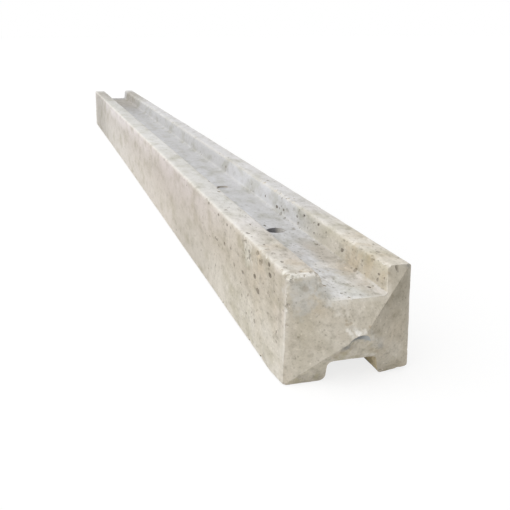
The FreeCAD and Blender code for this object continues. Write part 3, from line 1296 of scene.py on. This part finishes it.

# %% [markdown]
# ### Stains and marks
#
# Iron in the sand stains the concrete ochre, mostly near the weathered top. The walls of the lower slot
# get a pale rusty ochre, which also paints light into their shade. Some marks have a place of their own,
# such as the grey patch on the left flange's end, the brown spots round it and the white chips along its
# edge. A few are painted shade: a dark crescent under the tip's lip, and a thin shadow line at the right
# flange's end. They are found by their pixel.

# %% Note the marks that have a place in the picture
# Each mark is a column and a row of the picture, a radius in millimetres and a strength.
MARKS = [
    (GREY_CEMENT, [
        (302, 297, 18, 0.7), (316, 284, 12, 0.7), (379, 344, 10, 0.3), (325, 295, 10, 0.6),
        (373, 333, 4, 0.4), (373, 340, 4, 0.4),
    ]),
    (OCHRE_STAIN, [
        (290, 262, 12, 0.3), (305, 270, 6, 0.5), (352, 262, 22, 0.3), (368, 264, 14, 0.25),
        (383, 277, 9, 0.25),
    ]),
    (BROWN_STAIN_AND_SHADE, [
        (306, 289, 3.5, 0.3), (300.5, 271, 2.0, 0.5), (283.8, 275.5, 2.2, 0.5), (298, 275.3, 1.6, 0.5),
        (295.5, 279.5, 2.4, 0.3), (291, 283, 2.6, 0.15), (346.6, 321, 1.6, 0.4),
        (346.8, 325, 1.8, 0.45), (351.2, 323.5, 1.6, 0.4), (336, 357, 4, 0.3), (346, 353, 4, 0.25),
        (372, 350, 3, 0.3), (377, 352, 3, 0.3), (319, 275, 2.5, 0.35), (320.5, 280, 2, 0.35),
        (321, 285, 2, 0.25), (323, 271.3, 1.5, 0.4), (328, 270, 1.5, 0.4), (332.5, 268.5, 1.5, 0.4),
        (370.5, 327, 1.6, 0.4), (375, 327, 1.6, 0.35), (352, 349, 4, 0.3), (326, 278, 9, 0.12),
        # The last three marks are a painted shadow line down the crease at the right flange's end.
        (319, 314, 8, 0.12), (343, 337, 6, 0.12), (389.2, 273, 1.4, 0.4), (389.4, 277, 1.4, 0.4),
        (389.6, 281, 1.4, 0.4),
    ]),
    (FRACTURE_GREY_AND_SHADE, [
        # The first three extend the lip's painted shadow down the lower left ridge; the others are grey
        # marks.
        (350, 346.8, 4, 0.4), (346, 348.8, 3, 0.35), (356, 345, 4, 0.3), (382, 347, 4, 0.3),
        (408.5, 265.5, 2, 0.4),
    ]),
    (WORN_WHITE, [
        (271, 242, 8, 0.35), (247, 254, 16, 0.6), (295, 267, 9, 0.3), (306, 269.6, 4, 0.6),
        (340, 300, 12, 0.5), (325, 265, 16, 0.4), (393, 354, 16, 0.15),
    ]),
    (FRESH_WHITE_AND_LIGHT, [
        (291, 275.5, 5, 0.9), (296, 275, 4.5, 0.9), (287, 275.5, 3, 0.8), (303, 273.8, 3.5, 0.9),
        (309, 273, 3.5, 0.85), (313.5, 273, 3, 0.6), (284, 270.8, 3, 0.85), (287.5, 269.8, 2.5, 0.7),
        (281.8, 272.2, 2.5, 0.8), (286.6, 280, 2.4, 0.6), (286, 287, 3, 0.4), (286, 292, 3.5, 0.5),
        (285.8, 298, 3.5, 0.5), (285.5, 304, 3, 0.4), (285.5, 310, 3, 0.3), (355, 330, 2.6, 0.5),
        (357, 332, 2.6, 0.6), (359.5, 334.3, 2.8, 0.75), (348, 330.5, 2.4, 0.45), (351, 334, 2.6, 0.5),
        (353, 337.5, 2.0, 0.4), (364.5, 331, 2.2, 0.4), (366, 334, 2.0, 0.45), (366, 354.5, 3, 0.3),
        (373, 355, 3, 0.3), (374, 336, 4, 0.4), (377, 341, 2.5, 0.3),
    ]),
]
print("marks noted:", sum(len(marks) for _, marks in MARKS))

# %% Stain and mark the concrete
PATCH_CORE = 0.3
PATCH_EDGE = 1.1
PATCH_RAGGEDNESS = 3.0


def patch(place, middle, radius, ragged):
    """Mask a ragged round patch about a place on the post."""
    gap = place.add("ShaderNodeVectorMath", {"operation": "DISTANCE"}, {0: place, 1: middle}, "Value")
    edge = gap + (ragged - 0.5) * (PATCH_RAGGEDNESS * radius)
    return 1 - edge.rise(PATCH_CORE * radius, PATCH_EDGE * radius)


def stains_and_slot_light(ground, colour):
    """Stain the post ochre near its top, dull its far end, and paint the lower slot's walls a pale rusty
    ochre, partly painted light in their shade.
    """
    near_top = ground.x.rise(0.6, 0.84) * (0.15 + 0.3 * ground.z.rise(0.05, 0.09))
    far_end = ground.x.rise(-0.88, -0.8) * (1 - ground.x.rise(-0.74, -0.45))
    slot_walls = ground.sides * (1 - abs(ground.y - slot_middle).rise(0.03, 0.036))
    return layered(colour, [
        (mottle(ground.place, "stain").rise(0.5, 0.72) * near_top, OCHRE_STAIN),
        (far_end * 0.85, FAR_BAND),
        # Partly a real rusty ochre, partly painted light that lifts the shade on the lower slot's walls.
        (slot_walls * (1 - ground.z.rise(0.016, 0.024)) * 0.95, RUST_AND_LIGHT_LOWER_SLOT),
    ])


def noted_marks(ground, colour):
    """Lay the marks that have a place of their own, each with a ragged edge."""
    ragged = mottle(ground.place, "ragged edge")
    for stain, marks in MARKS:
        for column, row, radius, strength in marks:
            spot = patch(ground.place, seen_at(column, row)[0], radius * MM, ragged)
            colour = blend(spot * strength, colour, stain)
    return colour


print("a mark fades out at", PATCH_EDGE, "times its radius")

# %% [markdown]
# ### Sand, wear and holes
#
# Close up, the skin shows sand: dark and pale grains of one to three millimetres. Rubbed arrises and
# fresh breaks are almost white, apart from the torn stones under the tip, which are blue-grey, with a
# painted shadow under the lip and painted light to its right. Dirt sits in the blowholes. The bolt hole
# gets painted shade on its left and painted light on its right. The weathering left a mark on the mesh
# for each of these.

# %% Add sand, wear and dirt
SPECK_SCALE = 290.0
FLAKE_STRETCH = 0.2


def sand(ground, colour):
    """Scatter dark and pale sand grains over the skin."""
    grains = mottle(ground.along, "sand grains")
    sockets = {"Vector": ground.along, "Scale": SPECK_SCALE}
    cells = ground.place.add("ShaderNodeTexVoronoi", {"feature": "F1"}, sockets, "Distance")
    chance = cells.add("ShaderNodeSeparateColor", {}, {"Color": cells.out("Color")}, "Red")
    clear = 0.3 + 0.7 * ground.near
    specks = (1 - cells.rise(0.12, 0.3)) * clear
    dark_specks = specks * (chance - (0.7 - 0.25 * ground.in_slot)).rise(0.0, 0.04)
    return toned(colour, [
        (grains.rise(0.52, 0.72) * clear, 0.72),
        ((1 - grains.rise(0.28, 0.47)) * clear, 1.16),
        (specks * (chance.out("Green") - 0.8).rise(0.0, 0.04), 1.2),
        (dark_specks * (0.6 + 0.4 * ground.tops), 0.6),
    ])


def worn_white(ground, colour):
    """Whiten the rubbed top of the left flange, the arrises, and the knocks in slanting flakes."""
    rub = mottle(ground.place, "rub")
    flange = ground.tops * (-ground.y).rise(0.034, 0.05) * (0.25 + 0.45 * ground.x.rise(0.5, 0.8))
    slot_edge = (ground.y - slot_middle).span(0.024, 0.042, 0.004) * ground.z.rise(0.08, 0.086)
    left_foot = ground.x.rise(0.83, 0.845) * (1 - ground.z.rise(0.015, 0.045))
    arris = ground.mark("arris") * (1 - 0.75 * slot_edge) * (1 - 0.7 * left_foot)
    arris = arris * (1 - 0.5 * ground.front.rise(0.5, 0.85))
    slanted = {"X": ground.y + ground.z, "Y": (ground.y - ground.z) * FLAKE_STRETCH, "Z": ground.x}
    flakes = mottle(ground.place.add("ShaderNodeCombineXYZ", {}, slanted), "flakes").rise(0.42, 0.58)
    return layered(colour, [
        (flange * rub.rise(0.34, 0.62), WORN_WHITE),
        (arris * (0.3 + 0.5 * rub.rise(0.38, 0.6)), WORN_WHITE),
        (ground.mark("fracture") * (0.2 + 0.65 * flakes), WORN_WHITE),
    ])


def torn_stones_and_lip_shading(ground, colour):
    """Make the torn stones under the tip blue-grey, with a painted shadow under the lip and painted light to
    its right.
    """
    lip = ground.mark("torn") * (-ground.up).rise(0.3, 0.65)
    # Painted shadow on the downward torn faces under the lip, and painted light on their right part.
    return layered(colour, [
        (lip * 0.75, FRACTURE_GREY_AND_SHADE),
        (lip * ground.y.rise(0.002, 0.009) * 0.6, LIP_PAINTED_LIGHT),
    ])


def dirty_and_shaded_holes(ground, colour):
    """Darken the blowholes with dirt, paint shade on the left of the bolt hole and light on its right."""
    bore = ground.mark("bore")
    lit_right_side = ground.y.rise(hole_place.y + 0.1 * hole_radius, hole_place.y + 0.9 * hole_radius)
    dirt = mottle(ground.place, "hole dirt").rise(0.35, 0.65)
    return layered(colour, [
        # Painted shade, strongest on the bolt hole's left, and painted light on its right side.
        (bore * (0.9 - 0.75 * lit_right_side), BORE_SHADE),
        (bore * lit_right_side * 0.8, FRESH_WHITE_AND_LIGHT),
        (ground.mark("blowhole") * (0.2 + 0.65 * dirt), BLOWHOLE_DIRT),
    ])


print("specks are about", round(1 / SPECK_SCALE / MM, 1), "mm apart")

# %% Build the finish
LAYERS = [
    slot_skin, part_shades, facet_shades, stains_and_slot_light, noted_marks, cement_clouds, rain_streaks, sand, worn_white,
    torn_stones_and_lip_shading, dirty_and_shaded_holes,
]
RELIEF_DEPTH = 1.2 * MM
RELIEF_STRENGTH = 0.7
GRIT_SHARE = 0.3
CRUMB_SHARE = 0.7
SPECULAR_LEVEL = 0.25


def concrete_finish():
    """Build the weathered concrete material from its layers."""
    material = bpy.data.materials.new("weathered concrete")
    material.use_nodes = True
    material.node_tree.nodes.clear()
    tree = Wire(material.node_tree)
    ground = Ground(tree)
    colour = cement_skin(ground)
    for layer in LAYERS:
        colour = layer(ground, colour)
    crumbs = mottle(ground.place, "crumbs")
    relief = mottle(ground.place, "grit") * GRIT_SHARE + crumbs * CRUMB_SHARE
    relief = relief * (0.5 + 0.5 * ground.near)
    bumps = {"Strength": RELIEF_STRENGTH, "Distance": RELIEF_DEPTH, "Height": relief}
    look = {
        "Base Color": colour,
        "Roughness": 0.8 + 0.15 * crumbs,
        "Specular IOR Level": SPECULAR_LEVEL,
        "Normal": tree.add("ShaderNodeBump", {}, bumps),
    }
    surface = tree.add("ShaderNodeBsdfPrincipled", {}, look)
    tree.add("ShaderNodeOutputMaterial", {}, {"Surface": surface})
    return material


concrete = concrete_finish()
print("concrete finish has", len(concrete.node_tree.nodes), "nodes")

# %% [markdown]
# ## Making the post
#
# The tree now runs once on the skin, and its result becomes a plain mesh that sits at the origin like
# the frame's own parts. Flat facets have to meet in clear edges and blowholes in clear rims, so the
# mesh is shaded smooth apart from edges sharper than a set angle.

# %% Run the weathering and keep its result
WEATHERING_VALUES = {
    "Sway depth": 0.9 * MM,
    "Grain depth": 0.35 * MM,
    "Edge wear": 2.1 * MM,
    "Blowhole gap": 4.5 * MM,
    "Blowholes per square metre": 5200.0,
    "Smallest blowhole": 0.8 * MM,
    "Largest blowhole": 2.6 * MM,
    "Knock gap": 9.0 * MM,
    "Knock share": 0.5,
    "Largest knock": 4.6 * MM,
    "Seed": 7,
}
KNOCK_STANDOFF = 1.2 * MM
END_LEAN = 50 * MM
SHARP_ANGLE = math.radians(32)


def edge_lines():
    """Draw the worn edges as loose lines, a little outside the skin."""
    knocked = [edge for edge in edges if edge[2] > RIDGE_WEAR]
    middle = np.array([0.0, slot_middle, height / 2])
    points = []
    for start, end, _ in knocked:
        for point in (start, end):
            outward = point - middle
            outward[0] = np.sign(point[0]) * END_LEAN
            points.append((point + outward / np.linalg.norm(outward) * KNOCK_STANDOFF).tolist())
    mesh = bpy.data.meshes.new("worn edges")
    mesh.from_pydata(points, [(2 * index, 2 * index + 1) for index in range(len(knocked))], [])
    return bpy.data.objects.new("worn edges", mesh)


def weathered_post():
    """Run the weathering tree on the casting and return the result as a plain mesh object."""
    bodies = {
        "Open hole": hole_body,
        "Filled hole": filled_hole_body,
        "Broken tip": break_body,
        "Flaked tip": flake_body,
        "Blowholes in view": blowhole_spots,
        "Knocks in view": knock_spots,
        "Worn edges": edge_lines(),
    }
    values = {**WEATHERING_VALUES, **bodies, "Concrete": concrete}
    raw = bpy.data.objects.new("raw casting", casting)
    bpy.context.scene.collection.objects.link(raw)
    modifier = raw.modifiers.new("weathering", "NODES")
    modifier.node_group = weathering
    for socket in weathering.interface.items_tree:
        if socket.in_out == "INPUT" and socket.name in values:
            modifier[socket.identifier] = values[socket.name]
    depsgraph = bpy.context.evaluated_depsgraph_get()
    mesh = bpy.data.meshes.new_from_object(raw.evaluated_get(depsgraph), depsgraph=depsgraph)
    for item in [raw, *bodies.values()]:
        bpy.data.objects.remove(item)
    mesh.materials.clear()
    mesh.materials.append(concrete)
    mesh.polygons.foreach_set("material_index", [0] * len(mesh.polygons))
    mesh.shade_smooth()
    mesh.set_sharp_from_angle(angle=SHARP_ANGLE)
    post = bpy.data.objects.new("cast_post", mesh)
    bpy.context.scene.collection.objects.link(post)
    return post


post = weathered_post()
post.data.calc_loop_triangles()
print("post has", len(post.data.loop_triangles), "triangles of", post.data.materials[0].name)

# %% Hang the post on the frame
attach(post, "root")
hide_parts(NODE)
print(post.name, "stands for", NODE)

# %% [markdown]
# ## Floor, light and picture settings
#
# The post lies in an even, overcast kind of light with a soft brighter side to the left. The floor is
# white where the camera sees it and still takes the post's soft shadow: a part of its white comes from
# light that falls on it, and the rest from a glow that only the viewer's rays meet.

# %% Lay the floor
FLOOR_SIDE = 30.0
FLOOR_GREY = 0.75
SHADED_SHARE = 0.25
FLOOR_GLOW = 0.78


def viewer_rays(tree):
    """Be 1 for rays that come from the viewer, straight or by a mirror or through glass."""
    camera_ray = tree.add("ShaderNodeLightPath", {}, {}, "Is Camera Ray")
    rays = camera_ray.math("MAXIMUM", camera_ray, camera_ray.out("Is Glossy Ray"))
    return rays.math("MAXIMUM", rays, camera_ray.out("Is Transmission Ray"))


def floor_finish():
    """Make the floor white to the viewer, apart from the shadow, and pale to other light."""
    material = bpy.data.materials.new("white floor")
    material.use_nodes = True
    material.node_tree.nodes.clear()
    tree = Wire(material.node_tree)
    plain = tree.add("ShaderNodeBsdfDiffuse", {}, {"Color": (FLOOR_GREY, FLOOR_GREY, FLOOR_GREY, 1)})
    shaded = tree.add("ShaderNodeBsdfDiffuse", {}, {"Color": (SHADED_SHARE, SHADED_SHARE, SHADED_SHARE, 1)})
    glow = tree.add("ShaderNodeEmission", {}, {"Color": (1, 1, 1, 1), "Strength": FLOOR_GLOW})
    seen = tree.add("ShaderNodeAddShader", {}, {0: shaded, 1: glow})
    surface = tree.add("ShaderNodeMixShader", {}, {0: viewer_rays(tree), 1: plain, 2: seen})
    tree.add("ShaderNodeOutputMaterial", {}, {"Surface": surface})
    return material


def lay_floor():
    """Lay a wide floor under the post."""
    half = FLOOR_SIDE / 2
    square = [(-half, -half, 0), (half, -half, 0), (half, half, 0), (-half, half, 0)]
    mesh = bpy.data.meshes.new("floor")
    mesh.from_pydata(square, [], [(0, 1, 2, 3)])
    mesh.materials.append(floor_finish())
    floor = bpy.data.objects.new("floor", mesh)
    bpy.context.scene.collection.objects.link(floor)
    return floor


floor = lay_floor()
print("floor is", FLOOR_SIDE, "m wide")

# %% Light the post
SKY_STRENGTH = 0.52
LAMP_STRENGTH = 1.75
LAMP_SPREAD = math.radians(95)
LAMP_DIRECTION = Vector((0.1, -0.62, 0.72))


def light_sky():
    """Fill the room with even light, and show it as white to the viewer."""
    world = bpy.data.worlds.new("overcast room")
    world.use_nodes = True
    world.node_tree.nodes.clear()
    tree = Wire(world.node_tree)
    room = tree.add("ShaderNodeBackground", {}, {"Color": (1, 1, 1, 1), "Strength": SKY_STRENGTH})
    white = tree.add("ShaderNodeBackground", {}, {"Color": (1, 1, 1, 1), "Strength": 1.0})
    surface = tree.add("ShaderNodeMixShader", {}, {0: viewer_rays(tree), 1: room, 2: white})
    tree.add("ShaderNodeOutputWorld", {}, {"Surface": surface})
    bpy.context.scene.world = world


def hang_lamp():
    """Hang a broad soft lamp above and to the left of the weathered top."""
    lamp = bpy.data.lights.new("soft lamp", "SUN")
    lamp.energy = LAMP_STRENGTH
    lamp.angle = LAMP_SPREAD
    holder = bpy.data.objects.new("soft lamp", lamp)
    holder.rotation_euler = LAMP_DIRECTION.to_track_quat("Z", "Y").to_euler()
    bpy.context.scene.collection.objects.link(holder)


light_sky()
hang_lamp()
print("sky", SKY_STRENGTH, "lamp", LAMP_STRENGTH)

# %% Finish
bpy.context.scene.view_settings.view_transform = "Standard"
